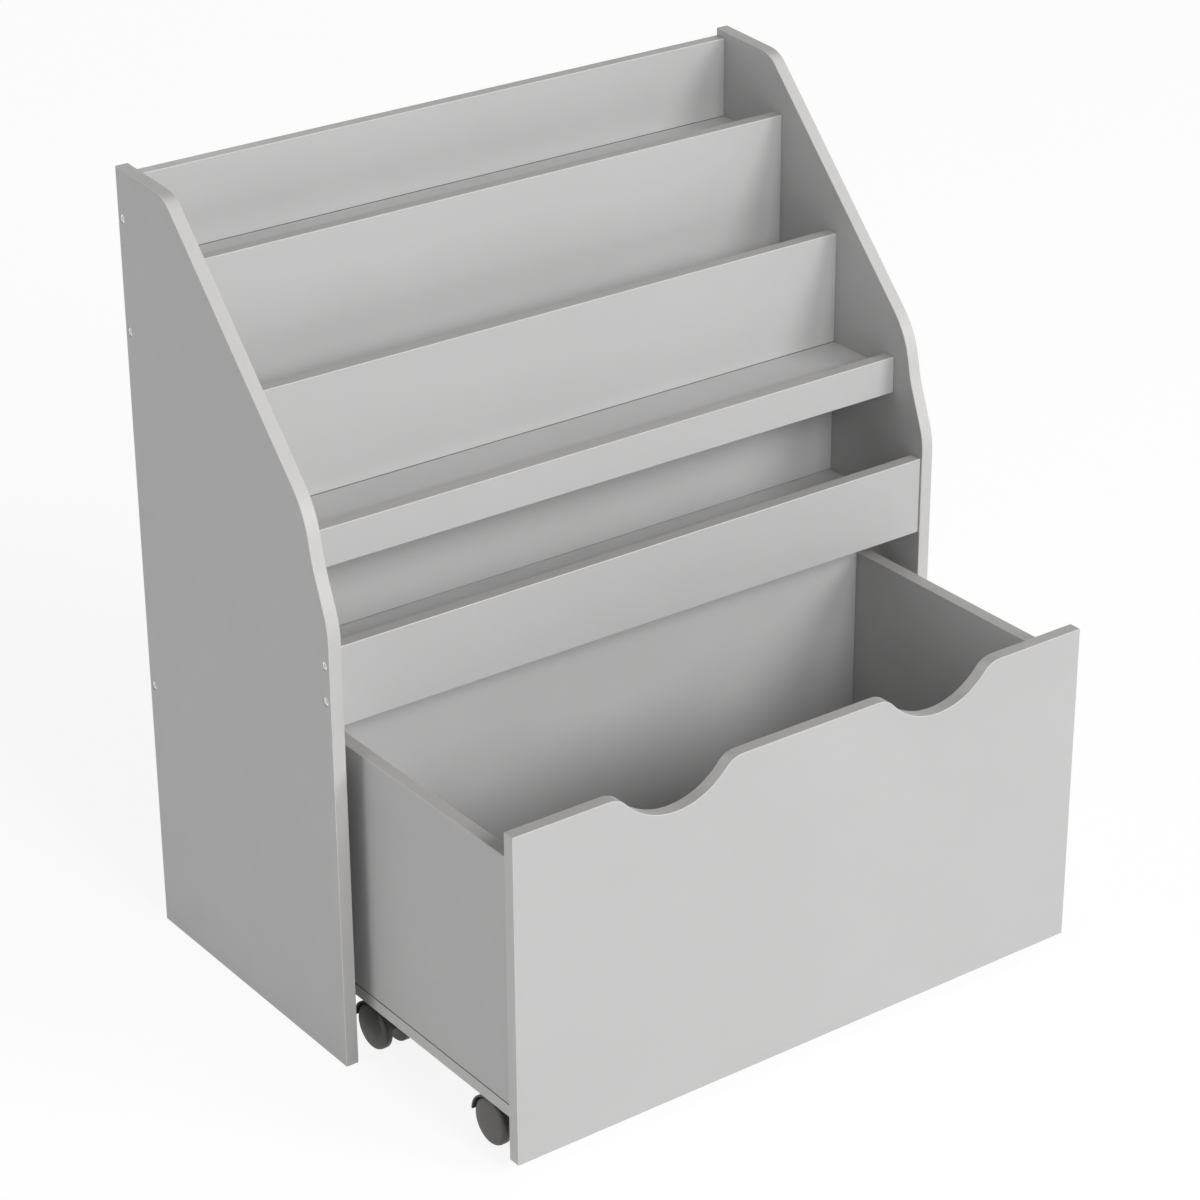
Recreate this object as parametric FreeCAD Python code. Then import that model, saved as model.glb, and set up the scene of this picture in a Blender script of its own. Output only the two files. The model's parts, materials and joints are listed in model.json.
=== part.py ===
# A child's book rack with three stepped book tiers, an open shelf below them, and a toy drawer
# that rolls under the shelf on four twin-wheel casters. Melamine-faced boards, screwed and dowelled.
# Millimetres, +Z up, +Y to the back. The origin is on the floor under the middle of the whole
# object with the drawer pulled out by drawer_pull.
import FreeCAD, Part
import math
import os

Vector = FreeCAD.Vector

# Boards
board = 12.0                  # thickness of every board
arris = 0.8                   # rounding along the edge-banded corners

# Rack
rack_width = 630.0
rack_depth = 298.0
rack_height = 710.0

# Outline of the side panels: a top edge, a slope, and three bends down to the upright front edge
shoulder_land = 76.0          # length of the top edge, from the back
shoulder_fall = 5.0           # how far the top edge falls towards the front
shoulder_radius = 30.0
knee_drop = 210.0             # end of the slope below the tops of the side panels
knee_depth = 28.0             # behind the front edge
knee_radius = 80.0
waist_drop = 42.0             # below the knee
waist_depth = 19.0
waist_radius = 90.0
toe_drop = 50.0               # below the waist, where the edge reaches the front
toe_radius = 70.0

# Boards between the side panels: drops are from the tops of the side panels to the top of a board,
# insets are from the side panels' front edge, at that height, back to the face of a board
back_step = 7.0               # back panel below the tops of the side panels
back_height = 173.0
back_rail_height = 70.0
back_rail_middle = 238.0      # from the floor
top_front_drop = 57.0
top_front_inset = 30.0
top_floor_drop = 80.0
middle_front_drop = 145.0
middle_front_inset = 34.0
middle_floor_drop = 190.0
lip_drop = 236.0
lip_inset = 19.0
lip_height = 34.0
lower_floor_drop = 248.0
rail_drop = 320.0
rail_inset = 2.0
rail_height = 71.0
shelf_step = 53.0             # open shelf below the top of the front rail

# Drawer
drawer_pull = 218.0           # how far the drawer stands out of the rack
drawer_side_gap = 10.0        # drawer front to each side panel
drawer_head_gap = 5.0         # drawer front to the rail above it
drawer_floor_gap = 14.0       # drawer front to the floor
drawer_back_gap = 3.0         # drawer to the back rail when it is pushed home
front_overhang = 4.5          # drawer front past each drawer side
side_drop = 26.0              # drawer sides below the top of the drawer front
scallop_spacing = 272.0       # between the middles of the two finger scallops
scallop_width = 132.0
scallop_depth = 30.0
scallop_lip_radius = 22.0

# Casters
wheel_diameter = 42.0
wheel_width = 10.0
wheel_shoulder = 4.0          # rounding from the wheel's outer face to its tread
wheel_round = 1.2             # rounding of its inner corner
wheel_gap = 0.5               # wheel to the web of the hood
web_width = 13.0
hub_radius = 9.0
axle_diameter = 5.0
axle_seat = 7.5               # depth of the axle's seat in each wheel
fender_gap = 0.8
fender_wall = 1.6
fender_start = 4.0            # degrees, from the stem's side of the wheel over its top
fender_end = 118.0
trail = 12.0                  # axle behind the swivel axis
boss_diameter = 18.0
kingpin_diameter = 6.0
kingpin_depth = 12.0          # kingpin inside the hood
race_height = 2.2
race_gap = 0.3
plate_side = 38.0
plate_wall = 2.0
plate_corner = 4.0
plate_screw_inset = 4.8
stem_from_side = 22.0         # swivel axis to the drawer side's outer face
front_stem_setback = 56.0     # swivel axis behind the drawer front
rear_stem_setback = 41.0      # swivel axis before the drawer's back end

# Fasteners and fits
panel_screw_shank = 5.0
panel_screw_head = 8.0
panel_screw_length = 42.0
panel_screw_recess = 0.8      # top of the head below the panel's face
panel_screw_cone = 3.0        # depth of the countersunk head
panel_screw_socket = 4.0      # across the flats
panel_screw_socket_depth = 2.2
back_screw_inset = 37.0       # back panel's screws from its top and bottom
rail_screw_drop = 16.0        # upper screw of the front rail below its top
rail_screw_pitch = 32.0
bottom_screw_shank = 3.5
bottom_screw_head = 7.0
bottom_screw_cone = 2.4
bottom_screw_length = 38.0
bottom_screw_socket = 2.5
bottom_screw_socket_depth = 1.6
bottom_screw_inset = 90.0     # end screws from the ends of the drawer sides
plate_screw_shank = 3.5
plate_screw_length = 11.0
plate_screw_head = 6.6
plate_screw_head_height = 1.9
dowel_diameter = 6.0
dowel_in_face = 8.0           # depth in the face of a board
dowel_in_end = 18.0           # depth in the end of a board
dowel_room = 0.5              # left at each end of a dowel
dowel_share = 0.25            # of a rack board's width, in from each of its edges
drawer_dowel_inset = 14.0     # end dowels from the top and bottom of the drawer sides
cam_diameter = 12.0
cam_depth = 9.0
cam_setback = 24.0            # cam lock behind the drawer front
cam_bolt_diameter = 5.0
cam_bolt_in_face = 8.0
cam_end_inset = 38.0          # cam locks from the top and bottom of the drawer sides
fit = 0.05                    # clearance on the radius of a fitted pin, screw or dowel

# Places that follow from the sizes above
front_y = (drawer_pull - rack_depth) / 2
back_y = front_y + rack_depth
inner_x = rack_width / 2 - board
outline_points = [
    (rack_depth - shoulder_land, rack_height - shoulder_fall),
    (knee_depth, rack_height - knee_drop),
    (waist_depth, rack_height - knee_drop - waist_drop),
    (0.0, rack_height - knee_drop - waist_drop - toe_drop),
]
back_top = rack_height - back_step
back_bottom = back_top - back_height
back_rail_bottom = back_rail_middle - back_rail_height / 2
top_front_top = rack_height - top_front_drop
top_floor_top = rack_height - top_floor_drop
middle_front_top = rack_height - middle_front_drop
middle_floor_top = rack_height - middle_floor_drop
lip_top = rack_height - lip_drop
lower_floor_top = rack_height - lower_floor_drop
rail_top = rack_height - rail_drop
shelf_top = rail_top - shelf_step
rail_bottom = rail_top - rail_height
wheel_radius = wheel_diameter / 2
fender_inner = wheel_radius + fender_gap
fender_outer = fender_inner + fender_wall
hood_top = wheel_radius + fender_outer
plate_bottom = hood_top + race_gap + race_height
caster_height = plate_bottom + plate_wall
drawer_front_y = front_y - drawer_pull
drawer_box_y = drawer_front_y + board
drawer_end_y = back_y - board - drawer_back_gap - drawer_pull
drawer_front_x = inner_x - drawer_side_gap
drawer_side_x = drawer_front_x - front_overhang
drawer_front_top = rail_bottom - drawer_head_gap
drawer_side_top = drawer_front_top - side_drop
drawer_floor = caster_height + board
sides = {"left": -1, "right": 1}
along_x = Vector(1, 0, 0)
up = Vector(0, 0, 1)


def edge_y(height):
    # The side panels' front edge at a height, with its bends left sharp.
    for (upper_depth, upper), (lower_depth, lower) in zip(outline_points, outline_points[1:]):
        if height > lower:
            return front_y + lower_depth + (upper_depth - lower_depth) * (height - lower) / (upper - lower)
    return front_y


def block(x0, x1, y0, y1, z0, z1):
    return Part.makeBox(x1 - x0, y1 - y0, z1 - z0, Vector(x0, y0, z0))


def eased(shape):
    return shape.makeFillet(arris, shape.Edges)


def cylinder(radius, start, direction, length):
    return Part.makeCylinder(radius, length, start, direction)


def turned(shape, start, direction):
    # Puts a shape that was made along +Z at start, pointing along direction.
    moved = shape.copy()
    moved.Placement = FreeCAD.Placement(start, FreeCAD.Rotation(up, direction))
    return moved


def rounded_face(corners):
    # A flat face from corners (point, radius): straight sides, with an arc at each corner that has a radius.
    count = len(corners)
    trimmed = []
    for i, (point, radius) in enumerate(corners):
        to_last = (corners[i - 1][0] - point).normalize()
        to_next = (corners[(i + 1) % count][0] - point).normalize()
        half_turn = (math.pi - to_last.getAngle(to_next)) / 2
        reach = radius * math.tan(half_turn)
        start = point + to_last * reach
        end = point + to_next * reach
        inward = (to_last + to_next).normalize()
        middle = point + inward * (radius / math.cos(half_turn) - radius)
        trimmed.append((start, middle, end, radius > 0))
    edges = []
    for i, (start, middle, end, is_round) in enumerate(trimmed):
        if is_round:
            edges.append(Part.Arc(start, middle, end).toShape())
        edges.append(Part.LineSegment(end, trimmed[(i + 1) % count][0]).toShape())
    return Part.Face(Part.Wire(edges))


def ring_sector(inner, outer, start_degrees, end_degrees, width):
    # A slice of a ring about the X axis, from start to end, measured from +Y towards +Z.
    def at(radius, degrees):
        angle = math.radians(degrees)
        return Vector(-width / 2, radius * math.cos(angle), radius * math.sin(angle))

    middle = (start_degrees + end_degrees) / 2
    edges = [
        Part.Arc(at(outer, start_degrees), at(outer, middle), at(outer, end_degrees)).toShape(),
        Part.LineSegment(at(outer, end_degrees), at(inner, end_degrees)).toShape(),
        Part.Arc(at(inner, end_degrees), at(inner, middle), at(inner, start_degrees)).toShape(),
        Part.LineSegment(at(inner, start_degrees), at(outer, start_degrees)).toShape(),
    ]
    return Part.Face(Part.Wire(edges)).extrude(along_x * width)


# Fasteners, each made along +Z: countersunk screws with the top of the head at the origin and the
# point below, dowels with the joint at the origin

def hexagon(across_flats, depth):
    radius = across_flats / math.sqrt(3)
    points = [FreeCAD.Rotation(up, 60 * k).multVec(along_x * radius) for k in range(7)]
    return Part.Face(Part.makePolygon(points)).extrude(up * -depth)


def countersunk_form(shank, head, cone, length, extra=0.0):
    # Shank with a flat cone head. With extra, the same form larger all round, which is its hole.
    head_form = Part.makeCone(shank / 2 + extra, head / 2 + extra, cone, Vector(0, 0, -cone), up)
    return head_form.fuse(cylinder(shank / 2 + extra, Vector(0, 0, -length - extra), up, length + extra))


panel_screw_sizes = (panel_screw_shank, panel_screw_head, panel_screw_cone, panel_screw_length)
panel_screw = countersunk_form(*panel_screw_sizes).cut(hexagon(panel_screw_socket, panel_screw_socket_depth))
panel_screw_hole = countersunk_form(*panel_screw_sizes, fit).fuse(
    cylinder(panel_screw_head / 2 + fit, Vector(0, 0, 0), up, panel_screw_recess))
bottom_screw_sizes = (bottom_screw_shank, bottom_screw_head, bottom_screw_cone, bottom_screw_length)
bottom_screw = countersunk_form(*bottom_screw_sizes).cut(
    hexagon(bottom_screw_socket, bottom_screw_socket_depth))
bottom_screw_hole = countersunk_form(*bottom_screw_sizes, fit)
dowel = cylinder(dowel_diameter / 2, Vector(0, 0, -dowel_in_face), up, dowel_in_face + dowel_in_end)
dowel_hole = cylinder(
    dowel_diameter / 2 + fit, Vector(0, 0, -dowel_in_face - dowel_room), up,
    dowel_in_face + dowel_in_end + 2 * dowel_room)


def board_between(y0, z0, y1, z1):
    # A board from one side panel to the other.
    return eased(block(-inner_x, inner_x, y0, y1, z0, z1))


def dowel_places(y0, z0, y1, z1):
    # Two places on the end of a board, near the two edges of its width.
    middle_y, middle_z = (y0 + y1) / 2, (z0 + z1) / 2
    if y1 - y0 > z1 - z0:
        inset = (y1 - y0) * dowel_share
        return [(y0 + inset, middle_z), (y1 - inset, middle_z)]
    inset = (z1 - z0) * dowel_share
    return [(middle_y, z0 + inset), (middle_y, z1 - inset)]


# Rack boards between the side panels, each as front y, bottom z, back y, top z
top_front_y = edge_y(top_front_top) + top_front_inset
middle_front_y = edge_y(middle_front_top) + middle_front_inset
lip_y = edge_y(lip_top) + lip_inset
rail_y = edge_y(rail_top) + rail_inset
sections = {
    "upper_back_panel": (back_y - board, back_bottom, back_y, back_top),
    "lower_back_rail": (back_y - board, back_rail_bottom, back_y, back_rail_bottom + back_rail_height),
    "top_tier_front": (top_front_y, middle_floor_top - board, top_front_y + board, top_front_top),
    "top_tier_floor": (top_front_y + board, top_floor_top - board, back_y - board, top_floor_top),
    "middle_tier_front": (middle_front_y, shelf_top, middle_front_y + board, middle_front_top),
    "middle_tier_floor": (middle_front_y + board, middle_floor_top - board, top_front_y, middle_floor_top),
    "lower_tier_lip": (lip_y, lip_top - lip_height, lip_y + board, lip_top),
    "lower_tier_floor": (lip_y + board, lower_floor_top - board, middle_front_y, lower_floor_top),
    "open_shelf_floor": (rail_y + board, shelf_top - board, middle_front_y + board, shelf_top),
    "front_rail": (rail_y, rail_bottom, rail_y + board, rail_top),
}
panel_screw_places = [
    (back_y - board / 2, back_top - back_screw_inset),
    (back_y - board / 2, back_bottom + back_screw_inset),
    (back_y - board / 2, back_rail_middle),
    (rail_y + board / 2, rail_top - rail_screw_drop),
    (rail_y + board / 2, rail_top - rail_screw_drop - rail_screw_pitch),
]
screwed_only = ("upper_back_panel", "front_rail")
rack_dowel_places = [
    place for name in sections if name not in screwed_only for place in dowel_places(*sections[name])]


def panel_screws(side, form):
    x = side * (rack_width / 2 - panel_screw_recess)
    return [turned(form, Vector(x, y, z), Vector(side, 0, 0)) for y, z in panel_screw_places]


def rack_dowels(side, form):
    return [turned(form, Vector(side * inner_x, y, z), Vector(-side, 0, 0)) for y, z in rack_dowel_places]


def side_panel(side):
    def corner(depth, height, radius=0.0):
        return Vector(side * inner_x, front_y + depth, height), radius

    bends = zip(outline_points, (shoulder_radius, knee_radius, waist_radius, toe_radius))
    outline = [corner(0, 0), corner(rack_depth, 0), corner(rack_depth, rack_height)]
    outline += [corner(*point, radius) for point, radius in bends]
    panel = eased(rounded_face(outline).extrude(Vector(side * board, 0, 0)))
    return panel.cut(panel_screws(side, panel_screw_hole) + rack_dowels(side, dowel_hole))


def rack_board(name):
    solid = board_between(*sections[name])
    y0, z0, y1, z1 = sections[name]
    holes = []
    for side in sides.values():
        screws = panel_screws(side, panel_screw_hole)
        for (y, z), hole in zip(panel_screw_places, screws):
            if y0 < y < y1 and z0 < z < z1:
                holes.append(hole)
        for (y, z), hole in zip(rack_dowel_places, rack_dowels(side, dowel_hole)):
            if y0 < y < y1 and z0 < z < z1:
                holes.append(hole)
    return solid.cut(holes)


# Drawer
def scalloped_outline():
    # The drawer front seen from the front: a rectangle with two finger scallops in its top edge.
    half = scallop_width / 2
    turn = 2 * math.atan(scallop_depth / half)
    bend_x = half - scallop_lip_radius * math.sin(turn)
    bend_z = drawer_front_top - scallop_lip_radius * (1 - math.cos(turn))

    def at(x, z):
        return Vector(x, drawer_front_y, z)

    def lip_middle(middle, side):
        x = middle + side * (half - scallop_lip_radius * math.sin(turn / 2))
        return at(x, drawer_front_top - scallop_lip_radius * (1 - math.cos(turn / 2)))

    edges = []
    last = at(-drawer_front_x, drawer_front_top)
    for middle in (-scallop_spacing / 2, scallop_spacing / 2):
        entry, leave = at(middle - half, drawer_front_top), at(middle + half, drawer_front_top)
        bend_in, bend_out = at(middle - bend_x, bend_z), at(middle + bend_x, bend_z)
        edges += [
            Part.LineSegment(last, entry).toShape(),
            Part.Arc(entry, lip_middle(middle, -1), bend_in).toShape(),
            Part.Arc(bend_in, at(middle, drawer_front_top - scallop_depth), bend_out).toShape(),
            Part.Arc(bend_out, lip_middle(middle, 1), leave).toShape(),
        ]
        last = leave
    corners = [last, at(drawer_front_x, drawer_front_top), at(drawer_front_x, drawer_floor_gap),
               at(-drawer_front_x, drawer_floor_gap), at(-drawer_front_x, drawer_front_top)]
    edges += [Part.LineSegment(a, b).toShape() for a, b in zip(corners, corners[1:])]
    return Part.Face(Part.Wire(edges))


drawer_side_middle = drawer_side_x - board / 2
drawer_side_heights = (drawer_floor, drawer_side_top)
cam_heights = (drawer_floor + cam_end_inset, drawer_side_top - cam_end_inset)
drawer_dowel_heights = (
    drawer_floor + drawer_dowel_inset,
    (drawer_floor + drawer_side_top) / 2,
    drawer_side_top - drawer_dowel_inset,
)
drawer_back_y = drawer_end_y - board
drawer_inner_x = drawer_side_x - board


def front_dowels(form):
    return [turned(form, Vector(side * drawer_side_middle, drawer_box_y, z), Vector(0, 1, 0))
            for side in sides.values() for z in drawer_dowel_heights]


def back_dowels(form):
    return [turned(form, Vector(side * drawer_inner_x, drawer_end_y - board / 2, z), Vector(-side, 0, 0))
            for side in sides.values() for z in drawer_dowel_heights]


def cam_bolts(extra=0.0):
    radius = cam_bolt_diameter / 2 + extra
    start_y = drawer_box_y - cam_bolt_in_face - extra
    length = cam_bolt_in_face + cam_setback - cam_diameter / 2 + 2 * extra
    return [cylinder(radius, Vector(side * drawer_side_middle, start_y, z), Vector(0, 1, 0), length)
            for side in sides.values() for z in cam_heights]


def cam_locks(extra=0.0):
    radius = cam_diameter / 2 + extra
    y = drawer_box_y + cam_setback
    return [cylinder(radius, Vector(side * drawer_inner_x, y, z), Vector(side, 0, 0), cam_depth + extra)
            for side in sides.values() for z in cam_heights]


def bottom_screws(form):
    first, last = drawer_box_y + bottom_screw_inset, drawer_end_y - bottom_screw_inset
    return [turned(form, Vector(side * drawer_side_middle, y, caster_height), Vector(0, 0, -1))
            for side in sides.values() for y in (first, (first + last) / 2, last)]


def drawer_front():
    solid = eased(scalloped_outline().extrude(Vector(0, board, 0)))
    return solid.cut(front_dowels(dowel_hole) + cam_bolts(fit))


def drawer_side(side):
    inner, outer = sorted((side * drawer_inner_x, side * drawer_side_x))
    solid = eased(block(inner, outer, drawer_box_y, drawer_end_y, *drawer_side_heights))
    holes = front_dowels(dowel_hole) + back_dowels(dowel_hole) + cam_bolts(fit) + cam_locks(fit)
    return solid.cut(holes + bottom_screws(bottom_screw_hole))


def drawer_back():
    solid = eased(block(-drawer_inner_x, drawer_inner_x, drawer_back_y, drawer_end_y, *drawer_side_heights))
    return solid.cut(back_dowels(dowel_hole))


def drawer_bottom():
    solid = eased(
        block(-drawer_side_x, drawer_side_x, drawer_box_y, drawer_end_y, caster_height, drawer_floor))
    return solid.cut(bottom_screws(bottom_screw_hole) + plate_screws(plate_screw_hole))


# Casters, each made about its swivel axis with the wheels towards -Y, then moved into place
hood_width = 2 * (web_width / 2 + wheel_gap + wheel_width)
axle_line = Vector(0, -trail, wheel_radius)


def hood():
    fender = ring_sector(fender_inner, fender_outer, fender_start, fender_end, hood_width)
    web = ring_sector(hub_radius - axle_diameter / 2, fender_outer, fender_start, fender_end, web_width)
    hub = cylinder(hub_radius, Vector(-web_width / 2, 0, 0), along_x, web_width)
    wheel_room = cylinder(fender_inner, Vector(-hood_width, 0, 0), along_x, 2 * hood_width)
    boss = cylinder(boss_diameter / 2, Vector(0, trail, 0), up, fender_outer).cut(wheel_room)
    solid = fender.fuse([web, hub, boss]).removeSplitter()
    solid = solid.cut(cylinder(axle_diameter / 2 + fit, Vector(-web_width, 0, 0), along_x, 2 * web_width))
    kingpin_end = Vector(0, trail, fender_outer - kingpin_depth - fit)
    solid = solid.cut(cylinder(kingpin_diameter / 2 + fit, kingpin_end, up, kingpin_depth * 2))
    solid.translate(axle_line)
    return solid


def wheel(side):
    # The outer face turns over to the tread in a broad shoulder. The axle seats from the inside.
    disc = cylinder(wheel_radius, Vector(0, 0, 0), along_x, wheel_width)
    disc = disc.makeFillet(wheel_shoulder, [e for e in disc.Edges if e.BoundBox.XMin > wheel_width / 2])
    disc = disc.makeFillet(wheel_round, [e for e in disc.Edges if e.BoundBox.XMax < wheel_width / 2])
    disc = disc.cut(cylinder(axle_diameter / 2 + fit, Vector(0, 0, 0), along_x, axle_seat + fit))
    if side < 0:
        disc.rotate(Vector(0, 0, 0), up, 180)
    disc.translate(axle_line + along_x * side * (web_width / 2 + wheel_gap))
    return disc


def axle():
    reach = web_width / 2 + wheel_gap + axle_seat
    return cylinder(axle_diameter / 2, axle_line - along_x * reach, along_x, 2 * reach)


def kingpin():
    return cylinder(kingpin_diameter / 2, Vector(0, 0, hood_top - kingpin_depth), up,
                    caster_height - hood_top + kingpin_depth)


# Screws of the mounting plates, made along +Z with the underside of the head at the origin
plate_screw_reach = plate_side / 2 - plate_screw_inset
plate_screw_offsets = [(x * plate_screw_reach, y * plate_screw_reach) for x in (-1, 1) for y in (-1, 1)]
plate_screw_hole = cylinder(plate_screw_shank / 2 + fit, Vector(0, 0, -plate_screw_length - fit), up,
                            plate_screw_length + fit)
plate_screw = cylinder(plate_screw_shank / 2, Vector(0, 0, -plate_screw_length), up, plate_screw_length).fuse(
    cylinder(plate_screw_head / 2, Vector(0, 0, 0), up, plate_screw_head_height))


def mounting_plate():
    half = plate_side / 2
    corners = [(Vector(x * half, y * half, plate_bottom), plate_corner)
               for x, y in ((-1, -1), (1, -1), (1, 1), (-1, 1))]
    plate = rounded_face(corners).extrude(up * plate_wall)
    plate = plate.fuse(cylinder(boss_diameter / 2, Vector(0, 0, plate_bottom - race_height), up, race_height))
    plate = plate.cut(cylinder(kingpin_diameter / 2 + fit, Vector(0, 0, 0), up, 2 * caster_height))
    holes = [cylinder(plate_screw_shank / 2 + fit, Vector(x, y, 0), up, 2 * caster_height)
             for x, y in plate_screw_offsets]
    return plate.cut(holes)


front_stem_y = drawer_box_y + front_stem_setback
rear_stem_y = drawer_end_y - rear_stem_setback
stem_x = drawer_side_x - stem_from_side
casters = {
    "front_left": (-stem_x, front_stem_y),
    "front_right": (stem_x, front_stem_y),
    "rear_left": (-stem_x, rear_stem_y),
    "rear_right": (stem_x, rear_stem_y),
}


def at_caster(shape, name):
    placed = shape.copy()
    placed.translate(Vector(*casters[name], 0))
    return placed


def plate_screws(form):
    head_down = Vector(0, 0, -1)
    return [turned(form, Vector(x + dx, y + dy, plate_bottom), head_down)
            for x, y in casters.values() for dx, dy in plate_screw_offsets]


# All the pieces, by node name
nodes = {name: rack_board(name) for name in sections}
for side_name, side in sides.items():
    nodes[side_name + "_side_panel"] = side_panel(side)
    nodes[side_name + "_panel_screws"] = Part.makeCompound(panel_screws(side, panel_screw))
    nodes[side_name + "_dowels"] = Part.makeCompound(rack_dowels(side, dowel))
    nodes["drawer_" + side_name + "_side"] = drawer_side(side)
nodes["drawer_front"] = drawer_front()
nodes["drawer_back"] = drawer_back()
nodes["drawer_bottom"] = drawer_bottom()
nodes["drawer_dowels"] = Part.makeCompound(front_dowels(dowel) + back_dowels(dowel))
nodes["drawer_cam_bolts"] = Part.makeCompound(cam_bolts())
nodes["drawer_cam_locks"] = Part.makeCompound(cam_locks())
nodes["drawer_bottom_screws"] = Part.makeCompound(bottom_screws(bottom_screw))
nodes["caster_plate_screws"] = Part.makeCompound(plate_screws(plate_screw))
for name in casters:
    nodes[name + "_caster_plate"] = at_caster(mounting_plate(), name)
    nodes[name + "_caster_kingpin"] = at_caster(kingpin(), name)
    nodes[name + "_caster_hood"] = at_caster(hood(), name)
    nodes[name + "_caster_axle"] = at_caster(axle(), name)
    nodes[name + "_caster_left_wheel"] = at_caster(wheel(-1), name)
    nodes[name + "_caster_right_wheel"] = at_caster(wheel(1), name)

os.makedirs("parts", exist_ok=True)
for name, shape in nodes.items():
    shape.exportStep("parts/" + name + ".step")
print(len(nodes), "nodes,", sum(len(shape.Solids) for shape in nodes.values()), "solids")
bad = [name for name, shape in nodes.items() if not shape.isValid() or not shape.Solids]
print("not valid:", bad)
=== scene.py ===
# Child's book rack with a rolling toy drawer: finishes, caster and screw detail, studio and camera.
import json
import math

import bmesh
import bpy
from mathutils import Matrix, Vector


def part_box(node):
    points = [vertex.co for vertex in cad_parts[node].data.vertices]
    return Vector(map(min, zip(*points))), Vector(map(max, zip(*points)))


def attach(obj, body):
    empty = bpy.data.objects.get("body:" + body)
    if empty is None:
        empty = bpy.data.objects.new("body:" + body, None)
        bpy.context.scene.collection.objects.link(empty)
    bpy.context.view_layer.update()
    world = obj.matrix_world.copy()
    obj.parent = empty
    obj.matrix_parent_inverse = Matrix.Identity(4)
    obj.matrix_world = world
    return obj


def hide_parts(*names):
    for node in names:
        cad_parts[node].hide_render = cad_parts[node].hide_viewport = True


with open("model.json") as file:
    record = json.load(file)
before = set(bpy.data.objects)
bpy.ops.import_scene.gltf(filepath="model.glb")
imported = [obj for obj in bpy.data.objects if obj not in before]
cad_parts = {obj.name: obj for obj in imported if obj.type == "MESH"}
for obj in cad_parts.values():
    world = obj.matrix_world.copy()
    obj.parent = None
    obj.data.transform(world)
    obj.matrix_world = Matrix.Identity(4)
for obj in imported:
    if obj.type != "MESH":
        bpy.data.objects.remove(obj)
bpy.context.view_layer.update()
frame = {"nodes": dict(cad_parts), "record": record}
nodes = frame["nodes"]
mm = 0.001
weldGap = 0.01 * mm         # merges the loose triangles of a copied solid
poleGap = 0.001 * mm        # closes the poles of lathe work
axes = {"x": (1, 0, 0), "y": (0, 1, 0), "z": (0, 0, 1)}
upwards = axes["z"]
frontwards = (0, -1, 0)
print("frame:", len(nodes), "nodes")


# one shader socket with arithmetic, so that a mask reads as a sum
class Wire:
    def __init__(self, finish, socket):
        self.finish = finish
        self.socket = socket

    def math(self, operation, first, second):
        return self.finish.add("ShaderNodeMath", {"operation": operation}, {0: first, 1: second})

    def __add__(self, other):
        return self.math("ADD", self, other)

    def __radd__(self, other):
        return self.math("ADD", other, self)

    def __sub__(self, other):
        return self.math("SUBTRACT", self, other)

    def __rsub__(self, other):
        return self.math("SUBTRACT", other, self)

    def __mul__(self, other):
        return self.math("MULTIPLY", self, other)

    def __rmul__(self, other):
        return self.math("MULTIPLY", other, self)

    def __abs__(self):
        return self.math("ABSOLUTE", self, 0.0)


# colour sockets of a Mix node, whose names are not unique
mixSockets = {"share": 0, "first": 6, "second": 7, "result": 2}


# a material or a world: its node tree, and one way to add any node to it
class Finish:
    def __init__(self, owner):
        owner.use_nodes = True
        self.owner = owner
        self.tree = owner.node_tree

    def plug(self, socket, value):
        if isinstance(value, Wire):
            self.tree.links.new(value.socket, socket)
        else:
            socket.default_value = value

    def add(self, kind, settings=None, inputs=None, output=0):
        node = self.tree.nodes.new(kind)
        for name, value in (settings or {}).items():
            setattr(node, name, value)
        for name, value in (inputs or {}).items():
            self.plug(node.inputs[name], value)
        return Wire(self, node.outputs[output])

    def noise(self, point, scale, detail, rough):
        return self.add("ShaderNodeTexNoise", {}, {
            "Vector": point, "Scale": scale, "Detail": detail, "Roughness": rough})

    def blend(self, share, first, second):
        colours = {mixSockets["share"]: share, mixSockets["first"]: first, mixSockets["second"]: second}
        return self.add("ShaderNodeMix", {"data_type": "RGBA"}, colours, mixSockets["result"])

    def spread(self, value, low, high):
        return self.add("ShaderNodeMapRange", {"interpolation_type": "SMOOTHSTEP"}, {
            "Value": value, "From Min": low, "From Max": high})

    def along(self, vector, direction):
        return self.add("ShaderNodeVectorMath", {"operation": "DOT_PRODUCT"}, {
            0: vector, 1: direction}, "Value")


def newFinish(name, fixed):
    finish = Finish(bpy.data.materials.new(name))
    finish.shader = finish.tree.nodes["Principled BSDF"]
    for socket, value in fixed.items():
        finish.shader.inputs[socket].default_value = value
    return finish


def feed(finish, sockets):
    for name, value in sockets.items():
        finish.plug(finish.shader.inputs[name], value)


def objectPoint(finish):
    return finish.add("ShaderNodeTexCoord", {}, {}, "Object")


def bump(finish, height, strength, depth):
    return finish.add("ShaderNodeBump", {}, {"Strength": strength, "Distance": depth, "Height": height})


def grey(level, warm=0.0):
    return (level * (1 + warm), level, level * (1 - warm), 1.0)


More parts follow.
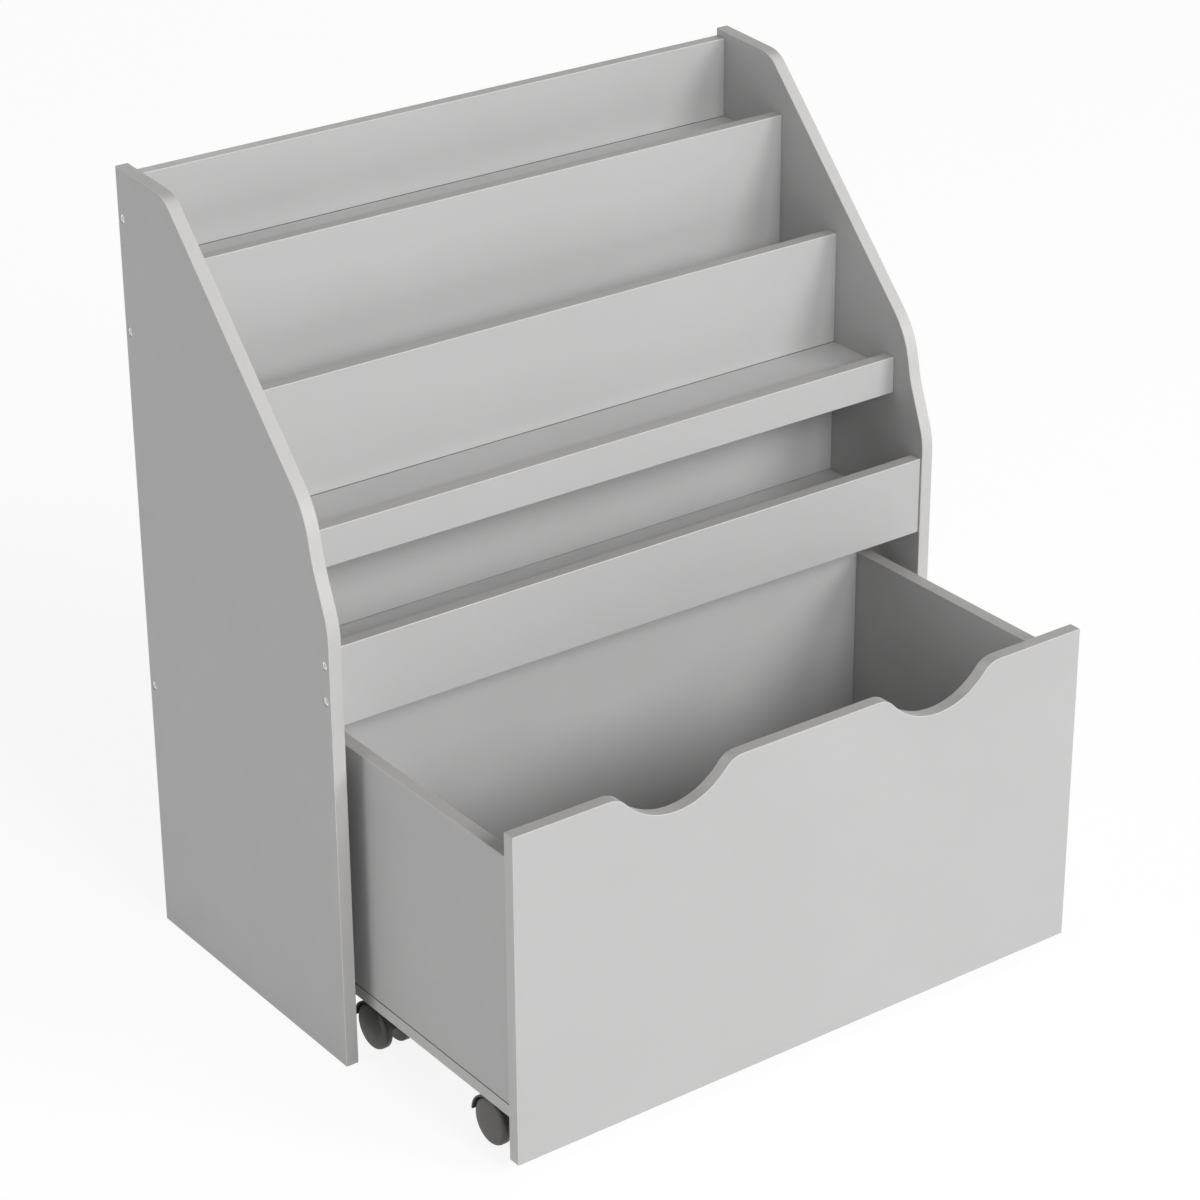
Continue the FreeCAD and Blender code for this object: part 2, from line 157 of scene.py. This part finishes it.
# melamine-faced board: the thin direction tells its faces from its banded edges, with a painted highlight
# along the arris between
# a noise is scale, detail and roughness; a turn or a reach is where a mask starts and where it is full
melamine = {
    "face": grey(0.545, 0.002), "faceDeep": grey(0.515, 0.004),
    "band": grey(0.60, 0.012), "bandDeep": grey(0.565, 0.014), "bandTurn": (0.75, 0.35),
    "specular": 0.42, "roughness": 0.46, "roughnessSwing": 0.10,
    "cloud": (5.0, 3.0, 0.5), "cloudTurn": (0.32, 0.68), "cloudShare": 0.55,
    "grain": (700.0, 2.0, 0.6), "grainShare": 0.45,
    "scuff": (38.0, 5.0, 0.65), "scuffTurn": (0.40, 0.72),
    "peel": (420.0, 1.5, 0.5), "peelStrength": 0.10, "peelDepth": 0.15 * mm,
    # painted highlight: a pale line on the rounded arris stands in for the light it catches
    "arrisHighlight": grey(0.82, 0.01), "highlightMiddle": 0.70, "highlightReach": (0.24, 0.08), "highlightShare": 0.8,
    # painted shade: banded edges that face up are darkened because less light falls on them
    "upEdgeShade": grey(0.36, 0.015), "upEdgeShadeShare": 0.55, "upEdgeShadeTurn": (0.80, 0.97),
    # painted shade: the dark line in the groove where boards meet stands in for the shade of the gap
    "jointShade": grey(0.13, 0.03),
    "jointReach": (0.9 * mm, 0.45 * mm), "jointTurn": (0.98, 0.90),
    "fineReach": (0.6 * mm, 0.3 * mm), "fineTurn": (0.10, 0.30),
}


def layJointShade(finish, colour, point, normal, joints, frontOnly):
    # joints are heights where another board butts against this one, and a dark line of painted shade lies in
    # the fine groove there
    if frontOnly:
        reach = melamine["fineReach"]
        shown = finish.spread(finish.along(normal, frontwards), *melamine["fineTurn"])
    else:
        reach = melamine["jointReach"]
        shown = finish.spread(abs(finish.along(normal, upwards)), *melamine["jointTurn"])
    height = finish.along(point, upwards)
    for joint in joints:
        # painted shade along each joint
        groove = finish.spread(abs(height - joint), *reach) * shown
        colour = finish.blend(groove, colour, melamine["jointShade"])
    return colour


def makeMelamine(name, thin, joints=(), frontOnly=False):
    finish = newFinish(name, {"Specular IOR Level": melamine["specular"]})
    point = objectPoint(finish)
    normal = finish.add("ShaderNodeNewGeometry", {}, {}, "Normal")
    across = abs(finish.along(normal, thin))
    band = finish.spread(across, *melamine["bandTurn"])
    # painted highlight: this mask picks the arris, where the normal turns between face and band
    highlight = finish.spread(abs(across - melamine["highlightMiddle"]), *melamine["highlightReach"])
    cloud = finish.spread(finish.noise(point, *melamine["cloud"]), *melamine["cloudTurn"])
    grain = finish.noise(point, *melamine["grain"])
    tone = cloud * melamine["cloudShare"] + grain * melamine["grainShare"]
    face = finish.blend(tone, melamine["faceDeep"], melamine["face"])
    edge = finish.blend(tone, melamine["bandDeep"], melamine["band"])
    # painted shade on the up-facing banded edges
    upFacing = finish.spread(finish.along(normal, upwards), *melamine["upEdgeShadeTurn"])
    edge = finish.blend(upFacing * melamine["upEdgeShadeShare"], edge, melamine["upEdgeShade"])
    colour = finish.blend(highlight * melamine["highlightShare"], finish.blend(band, face, edge), melamine["arrisHighlight"])
    if joints:
        colour = layJointShade(finish, colour, point, normal, joints, frontOnly)
    scuff = finish.spread(finish.noise(point, *melamine["scuff"]), *melamine["scuffTurn"])
    peel = finish.noise(point, *melamine["peel"])
    feed(finish, {
        "Base Color": colour,
        "Roughness": scuff * melamine["roughnessSwing"] + melamine["roughness"],
        "Normal": bump(finish, peel, melamine["peelStrength"], melamine["peelDepth"]),
    })
    return finish.owner


# bright zinc on screws and pressed steel: fine plating mottle and a soft smear
zinc = {
    "bright": grey(0.92), "dull": grey(0.80, 0.01),
    "mottle": (900.0, 3.0, 0.6), "mottleStrength": 0.12,
    "smear": (260.0, 2.0, 0.5), "smearTurn": (0.35, 0.7), "smearSwing": 0.14,
}


def makeZinc(name, roughness, depth):
    finish = newFinish(name, {"Metallic": 1.0})
    point = objectPoint(finish)
    mottle = finish.noise(point, *zinc["mottle"])
    smear = finish.spread(finish.noise(point, *zinc["smear"]), *zinc["smearTurn"])
    feed(finish, {
        "Base Color": finish.blend(mottle, zinc["dull"], zinc["bright"]),
        "Roughness": smear * zinc["smearSwing"] + roughness,
        "Normal": bump(finish, mottle, zinc["mottleStrength"], depth),
    })
    return finish.owner


# moulded nylon of the casters: spark-eroded grain, a little dust in it
nylon = {
    "specular": 0.45,
    "grain": (1500.0, 2.0, 0.6), "grainStrength": 0.22, "grainDepth": 0.06 * mm, "grainSwing": 0.08,
    "dust": (120.0, 4.0, 0.6), "dustTurn": (0.45, 0.75), "dustShare": 0.45, "dustSwing": 0.16,
}


def makeNylon(name, colour, dusty, roughness):
    finish = newFinish(name, {"Specular IOR Level": nylon["specular"]})
    point = objectPoint(finish)
    grain = finish.noise(point, *nylon["grain"])
    dust = finish.spread(finish.noise(point, *nylon["dust"]), *nylon["dustTurn"])
    feed(finish, {
        "Base Color": finish.blend(dust * nylon["dustShare"], colour, dusty),
        "Roughness": dust * nylon["dustSwing"] + grain * nylon["grainSwing"] + roughness,
        "Normal": bump(finish, grain, nylon["grainStrength"], nylon["grainDepth"]),
    })
    return finish.owner


# beech dowels: fine grain along X
beech = {
    "pale": (0.62, 0.43, 0.25, 1), "dark": (0.50, 0.32, 0.17, 1), "specular": 0.35,
    "stretch": (60.0, 900.0, 900.0), "grain": (1.0, 3.0, 0.6), "grainStrength": 0.2, "grainDepth": 0.08 * mm,
    "roughness": 0.55, "roughnessSwing": 0.15,
}


def makeBeech(name):
    finish = newFinish(name, {"Specular IOR Level": beech["specular"]})
    point = finish.add("ShaderNodeMapping", {}, {"Vector": objectPoint(finish), "Scale": beech["stretch"]})
    grain = finish.noise(point, *beech["grain"])
    feed(finish, {
        "Base Color": finish.blend(grain, beech["dark"], beech["pale"]),
        "Roughness": grain * beech["roughnessSwing"] + beech["roughness"],
        "Normal": bump(finish, grain, beech["grainStrength"], beech["grainDepth"]),
    })
    return finish.owner


# upright boards, and the floors that butt against their fronts
meetings = {
    "upper_back_panel": ("top_tier_floor",),
    "top_tier_front": ("middle_tier_floor",),
    "middle_tier_front": ("lower_tier_floor", "open_shelf_floor"),
}
drawerBoards = ("drawer_left_side", "drawer_right_side", "drawer_back", "drawer_bottom")


def topOf(node):
    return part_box(node)[1][2]


rackFinish = {letter: makeMelamine("melamine_thin_" + letter, axis) for letter, axis in axes.items()}
drawerFinish = {letter: makeMelamine("melamine_drawer_" + letter, axis, [topOf("drawer_bottom")])
                for letter, axis in axes.items()}
meetingFinish = {node: makeMelamine("melamine_" + node, axes["y"], [topOf(floor) for floor in floors], True)
                 for node, floors in meetings.items()}
slotFinish = {
    "zinc_screw": makeZinc("bright_zinc", roughness=0.22, depth=0.02 * mm),
    "zinc_die_cast": makeZinc("raw_die_cast", roughness=0.40, depth=0.06 * mm),
    "caster_steel": makeZinc("plated_pressing", roughness=0.30, depth=0.03 * mm),
    "caster_hood_plastic": makeNylon(
        "hood_nylon", colour=grey(0.030, 0.02), dusty=grey(0.060, 0.03), roughness=0.42),
    "caster_wheel_plastic": makeNylon(
        "wheel_nylon", colour=grey(0.085, 0.04), dusty=grey(0.125, 0.05), roughness=0.40),
    "beech_dowel": makeBeech("beech"),
}
slotOf = {entry["node"]: entry["material_slot"] for entry in frame["record"]["subparts"]}


def thinLetter(node):
    low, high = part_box(node)
    sizes = [high[i] - low[i] for i in range(3)]
    return "xyz"[sizes.index(min(sizes))]


def dress(piece, material):
    piece.data.materials.clear()
    piece.data.materials.append(material)


for node, piece in nodes.items():
    slot = slotOf[node]
    boardFinish = drawerFinish if node in drawerBoards else rackFinish
    if slot != "grey_board":
        material = slotFinish[slot]
    else:
        material = meetingFinish.get(node) or boardFinish[thinLetter(node)]
    for place in piece.material_slots:
        place.material = material
print("finishes on all CAD nodes")


# wheels: lathe work with a crowned tread, one fine groove beside it and a broad domed face
wheelCut = {
    "steps": 72, "innerRound": 1.2 * mm, "innerSteps": 5, "treadCrown": 0.12 * mm,
    "grooveWidth": 0.6 * mm, "grooveDepth": 0.45 * mm,
    "shoulder": 3.8 * mm, "shoulderSteps": 10, "domeSlope": 5.0, "domeSteps": 6,
}


def fromBmesh(name, bm, smoothDegrees=35):
    mesh = bpy.data.meshes.new(name)
    bm.to_mesh(mesh)
    bm.free()
    mesh.shade_smooth()
    mesh.set_sharp_from_angle(angle=math.radians(smoothDegrees))
    piece = bpy.data.objects.new(name, mesh)
    bpy.context.scene.collection.objects.link(piece)
    return piece


def lathe(name, profile, steps):
    # profile holds (along the axle, radius) from one pole to the other, spun about X
    bm = bmesh.new()
    points = [bm.verts.new((along, 0, radius)) for along, radius in profile]
    edges = [bm.edges.new(pair) for pair in zip(points, points[1:])]
    bmesh.ops.spin(bm, geom=points + edges, cent=(0, 0, 0), axis=axes["x"], angle=math.tau, steps=steps,
                   use_merge=True, use_duplicate=False)
    bmesh.ops.remove_doubles(bm, verts=bm.verts, dist=poleGap)
    bmesh.ops.recalc_face_normals(bm, faces=bm.faces)
    return fromBmesh(name, bm)


def arcPoints(centreX, centreR, radius, startDegrees, endDegrees, steps):
    angles = [math.radians(startDegrees + (endDegrees - startDegrees) * i / steps) for i in range(steps + 1)]
    return [(centreX + radius * math.cos(a), centreR + radius * math.sin(a)) for a in angles]


def wheelProfile(width, radius):
    cut = wheelCut
    corner, shoulder = cut["innerRound"], cut["shoulder"]
    slope = math.radians(cut["domeSlope"])
    edge = radius - shoulder * (1 - math.sin(slope))           # where the shoulder meets the dome
    rise = edge * math.tan(slope) / 2
    shoulderX = width - rise - shoulder * math.cos(slope)
    grooveX = shoulderX - cut["grooveWidth"]
    grooveFloor = radius - cut["grooveDepth"]
    rim = radius - cut["treadCrown"]
    profile = [(0, 0)]
    profile += arcPoints(corner, rim - corner, corner, 180, 90, cut["innerSteps"])
    profile += [((corner + grooveX) / 2, radius), (grooveX, rim)]
    profile += [(grooveX, grooveFloor), (shoulderX, grooveFloor)]
    profile += arcPoints(shoulderX, radius - shoulder, shoulder, 90, cut["domeSlope"], cut["shoulderSteps"])
    for i in range(1, cut["domeSteps"] + 1):
        inward = edge * (1 - i / cut["domeSteps"])
        profile.append((width - rise * (inward / edge) ** 2, inward))
    return profile


def makeWheel(node):
    low, high = (Vector(corner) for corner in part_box(node))
    width, radius = high.x - low.x, (high.z - low.z) / 2
    piece = lathe(node + "_turned", wheelProfile(width, radius), wheelCut["steps"])
    onLeft = node.endswith("left_wheel")
    turn = Matrix.Rotation(math.pi if onLeft else 0.0, 4, "Z")
    inner = high.x if onLeft else low.x
    piece.data.transform(Matrix.Translation((inner, (low.y + high.y) / 2, (low.z + high.z) / 2)) @ turn)
    dress(piece, slotFinish["caster_wheel_plastic"])
    return piece


bodyOf = {node: body for body, members in frame["record"]["behaviour"]["bodies"].items() for node in members}


def standFor(piece, node):
    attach(piece, bodyOf[node])
    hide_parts(node)


for node in sorted(nodes):
    if node.endswith("_wheel"):
        standFor(makeWheel(node), node)
print("caster wheels turned")


# moulded and pressed pieces get rounded edges on a merged copy of the solid
easing = {
    "offsets": {
        "_caster_hood": 0.40 * mm, "_caster_plate": 0.30 * mm,
        "_panel_screws": 0.18 * mm, "_bottom_screws": 0.12 * mm,
    },
    "segments": 3, "flatDegrees": 1, "sharpDegrees": 40,
}


def mergedCopy(node):
    bm = bmesh.new()
    bm.from_mesh(nodes[node].data)
    bmesh.ops.remove_doubles(bm, verts=bm.verts, dist=weldGap)
    return bm


def makeEased(node, offset):
    bm = mergedCopy(node)
    flat, turned = math.radians(easing["flatDegrees"]), math.radians(easing["sharpDegrees"])
    bmesh.ops.dissolve_limit(bm, angle_limit=flat, verts=bm.verts, edges=bm.edges)
    sharp = [edge for edge in bm.edges if edge.is_manifold and edge.calc_face_angle() > turned]
    bmesh.ops.bevel(bm, geom=sharp, offset=offset, offset_type="OFFSET", segments=easing["segments"],
                    profile=0.5, affect="EDGES", clamp_overlap=True, material=-1)
    piece = fromBmesh(node + "_eased", bm)
    dress(piece, slotFinish[slotOf[node]])
    return piece


for node in sorted(nodes):
    for ending, offset in easing["offsets"].items():
        if node.endswith(ending):
            standFor(makeEased(node, offset), node)
print("hoods, plates and screws eased")


# cam locks and pan-head screws: turned once, a cross cut for the driver, then set at each place of the node
camLock = {
    "steps": 40, "chamfer": 0.5 * mm, "rimWidth": 1.1 * mm, "rimDepth": 0.35 * mm,
    "crossLength": 7.0 * mm, "crossWidth": 1.5 * mm, "crossDepth": 2.0 * mm,
}
panHead = {
    "steps": 28, "plateWall": 2.0 * mm, "tip": 2.0 * mm, "shank": 1.75 * mm,
    "skirt": 0.5 * mm, "crown": 0.42, "crownSteps": 6,
    "crossLength": 3.4 * mm, "crossWidth": 0.8 * mm, "crossDepth": 1.2 * mm,
}
crossTurns = (45, 135)          # degrees


def islands(node):
    # lowest and highest corner of each separate solid of a node
    bm = mergedCopy(node)
    waiting, boxes = set(bm.verts), []
    while waiting:
        front, places = [waiting.pop()], []
        while front:
            vert = front.pop()
            places.append(vert.co.copy())
            linked = {edge.other_vert(vert) for edge in vert.link_edges} & waiting
            waiting -= linked
            front.extend(linked)
        boxes.append((Vector(map(min, zip(*places))), Vector(map(max, zip(*places)))))
    bm.free()
    return boxes


def cutCross(piece, top, sizes):
    # two crossed bars sunk into the end of a turned piece, whose axis is X
    bm = bmesh.new()
    barSize = (2 * sizes["crossDepth"], sizes["crossLength"], sizes["crossWidth"])
    for degrees in crossTurns:
        turn = Matrix.Rotation(math.radians(degrees), 3, "X")
        bar = bmesh.ops.create_cube(bm, size=1.0)["verts"]
        bmesh.ops.scale(bm, vec=barSize, verts=bar)
        bmesh.ops.rotate(bm, cent=(0, 0, 0), matrix=turn, verts=bar)
        bmesh.ops.translate(bm, vec=(top, 0, 0), verts=bar)
    cutter = fromBmesh("driver_cross", bm)
    cut = piece.modifiers.new("recess", "BOOLEAN")
    cut.object = cutter
    cut.solver = "EXACT"
    cut.use_self = True
    mesh = bpy.data.meshes.new_from_object(piece.evaluated_get(bpy.context.evaluated_depsgraph_get()))
    bpy.data.objects.remove(piece)
    bpy.data.objects.remove(cutter)
    return mesh


def setOut(node, form, placings):
    bm = bmesh.new()
    for placing in placings:
        copy = form.copy()
        copy.transform(placing)
        bm.from_mesh(copy)
        bpy.data.meshes.remove(copy)
    bmesh.ops.recalc_face_normals(bm, faces=bm.faces)
    piece = fromBmesh(node + "_turned", bm)
    dress(piece, slotFinish[slotOf[node]])
    standFor(piece, node)


def makeCamLocks(node):
    boxes = islands(node)
    depth = boxes[0][1].x - boxes[0][0].x
    radius = (boxes[0][1].z - boxes[0][0].z) / 2
    chamfer, rimDepth = camLock["chamfer"], camLock["rimDepth"]
    ring = radius - camLock["rimWidth"]
    floor = depth - rimDepth
    profile = [(0, 0), (0, radius), (depth - chamfer, radius), (depth, radius - chamfer),
               (depth, ring), (floor, ring - rimDepth), (floor, 0)]
    form = cutCross(lathe("cam_form", profile, camLock["steps"]), floor, camLock)
    placings = []
    for low, high in boxes:
        middle = (low + high) / 2
        onRight = middle.x > 0
        start = Vector((high.x if onRight else low.x, middle.y, middle.z))
        placings.append(Matrix.Translation(start) @ Matrix.Rotation(math.pi if onRight else 0.0, 4, "Z"))
    setOut(node, form, placings)


def makePanHeads(node, seat):
    boxes = islands(node)
    low, high = boxes[0]
    height, radius = seat - low.z, (high.x - low.x) / 2
    start = seat - high.z
    shank, skirt, crownSteps = panHead["shank"], panHead["skirt"], panHead["crownSteps"]
    crownRadius = radius * panHead["crown"]
    profile = [(start, 0), (start + panHead["tip"], shank), (0, shank), (0, radius), (skirt, radius)]
    for i in range(1, crownSteps + 1):
        angle = math.radians(90 * i / crownSteps)
        crownHeight = skirt + (height - skirt) * math.sin(angle)
        profile.append((crownHeight, crownRadius + (radius - crownRadius) * math.cos(angle)))
    profile.append((height, 0))
    form = cutCross(lathe("pan_form", profile, panHead["steps"]), height, panHead)
    down = Matrix.Rotation(math.pi / 2, 4, "Y")
    placings = []
    for lowest, highest in boxes:
        middle = (lowest + highest) / 2
        placings.append(Matrix.Translation((middle.x, middle.y, seat)) @ down)
    setOut(node, form, placings)


makeCamLocks("drawer_cam_locks")
makePanHeads("caster_plate_screws", topOf("front_left_caster_plate") - panHead["plateWall"])
print("cam locks and plate screws turned")


# studio: pale floor that keeps the shadow, white behind it, and four broad soft lamps
# a lamp's turn goes from the front towards the right, in degrees
studio = {
    "floorSize": 14.0, "floorColour": grey(0.86), "floorWhite": 0.80, "floorGlow": 1.10,
    "worldFill": 0.22, "aim": (0, 0, 0.35), "lampDistance": 12.0,
    "lamps": {
        "key": {"turn": 30.0, "rise": 24.0, "size": 5.1, "energy": 530.0},
        "front": {"turn": 0.0, "rise": 31.0, "size": 5.0, "energy": 630.0},
        "side": {"turn": -96.0, "rise": 0.0, "size": 5.0, "energy": 478.0},
        "back": {"turn": 162.0, "rise": 3.0, "size": 5.0, "energy": 480.0},
    },
}
seenRays = ("Is Camera Ray", "Is Glossy Ray", "Is Transmission Ray")


def whiteToCamera(finish):
    camera, glossy, through = [finish.add("ShaderNodeLightPath", {}, {}, name) for name in seenRays]
    return finish.add("ShaderNodeClamp", {}, {"Value": camera + glossy + through})


def makeFloor():
    bm = bmesh.new()
    bmesh.ops.create_grid(bm, x_segments=1, y_segments=1, size=studio["floorSize"])
    floor = fromBmesh("floor", bm)
    finish = Finish(bpy.data.materials.new("floor_white"))
    finish.tree.nodes.remove(finish.tree.nodes["Principled BSDF"])
    matt = finish.add("ShaderNodeBsdfDiffuse", {}, {"Color": studio["floorColour"]})
    glow = finish.add("ShaderNodeEmission", {}, {"Color": grey(1.0), "Strength": studio["floorGlow"]})
    share = whiteToCamera(finish) * studio["floorWhite"]
    surface = finish.add("ShaderNodeMixShader", {}, {0: share, 1: matt, 2: glow})
    finish.plug(finish.tree.nodes["Material Output"].inputs["Surface"], surface)
    floor.data.materials.append(finish.owner)


def makeWorld():
    world = bpy.data.worlds.new("studio")
    bpy.context.scene.world = world
    finish = Finish(world)
    background = finish.tree.nodes["Background"]
    background.inputs["Color"].default_value = grey(1.0)
    seen = whiteToCamera(finish)
    finish.plug(background.inputs["Strength"], seen * (1 - studio["worldFill"]) + studio["worldFill"])


def towards(turnDegrees, riseDegrees):
    # direction from the object to a lamp or the camera
    turn, rise = math.radians(turnDegrees), math.radians(riseDegrees)
    return Vector((math.sin(turn) * math.cos(rise), -math.cos(turn) * math.cos(rise), math.sin(rise)))


def makeLamp(name, turn, rise, size, energy):
    lamp = bpy.data.lights.new(name, "AREA")
    lamp.shape = "DISK"
    lamp.size = size
    lamp.energy = energy
    piece = bpy.data.objects.new(name, lamp)
    outward = towards(turn, rise)
    piece.location = Vector(studio["aim"]) + outward * studio["lampDistance"]
    piece.rotation_euler = (-outward).to_track_quat("-Z", "Y").to_euler()
    bpy.context.scene.collection.objects.link(piece)


makeFloor()
makeWorld()
for name, lamp in studio["lamps"].items():
    makeLamp(name, **lamp)
bpy.context.scene.view_settings.view_transform = "Standard"
print("studio ready")


# camera: direction and framing of the photograph, with the focal length in pixels of the frame's width
shot = {
    "azimuth": -36.27, "elevation": 26.25, "roll": -0.33,
    "distance": 3.0002, "target": (-0.02022, 0.0, 0.33237),
    "focal": 3541.95, "frameWidth": 1200, "sensor": 36.0,
}


def makeCamera():
    back = towards(shot["azimuth"], shot["elevation"])
    roll = math.radians(shot["roll"])
    right = Vector(upwards).cross(back).normalized()
    upright = back.cross(right)
    across = right * math.cos(roll) + upright * math.sin(roll)
    rise = upright * math.cos(roll) - right * math.sin(roll)
    lens = bpy.data.cameras.new("photo")
    lens.sensor_width = shot["sensor"]
    lens.lens = shot["focal"] * shot["sensor"] / shot["frameWidth"]
    camera = bpy.data.objects.new("photo", lens)
    turn = Matrix((across, rise, back)).transposed().to_4x4()
    camera.matrix_world = Matrix.Translation(Vector(shot["target"]) + back * shot["distance"]) @ turn
    bpy.context.scene.collection.objects.link(camera)
    bpy.context.scene.camera = camera


makeCamera()
print("camera set")
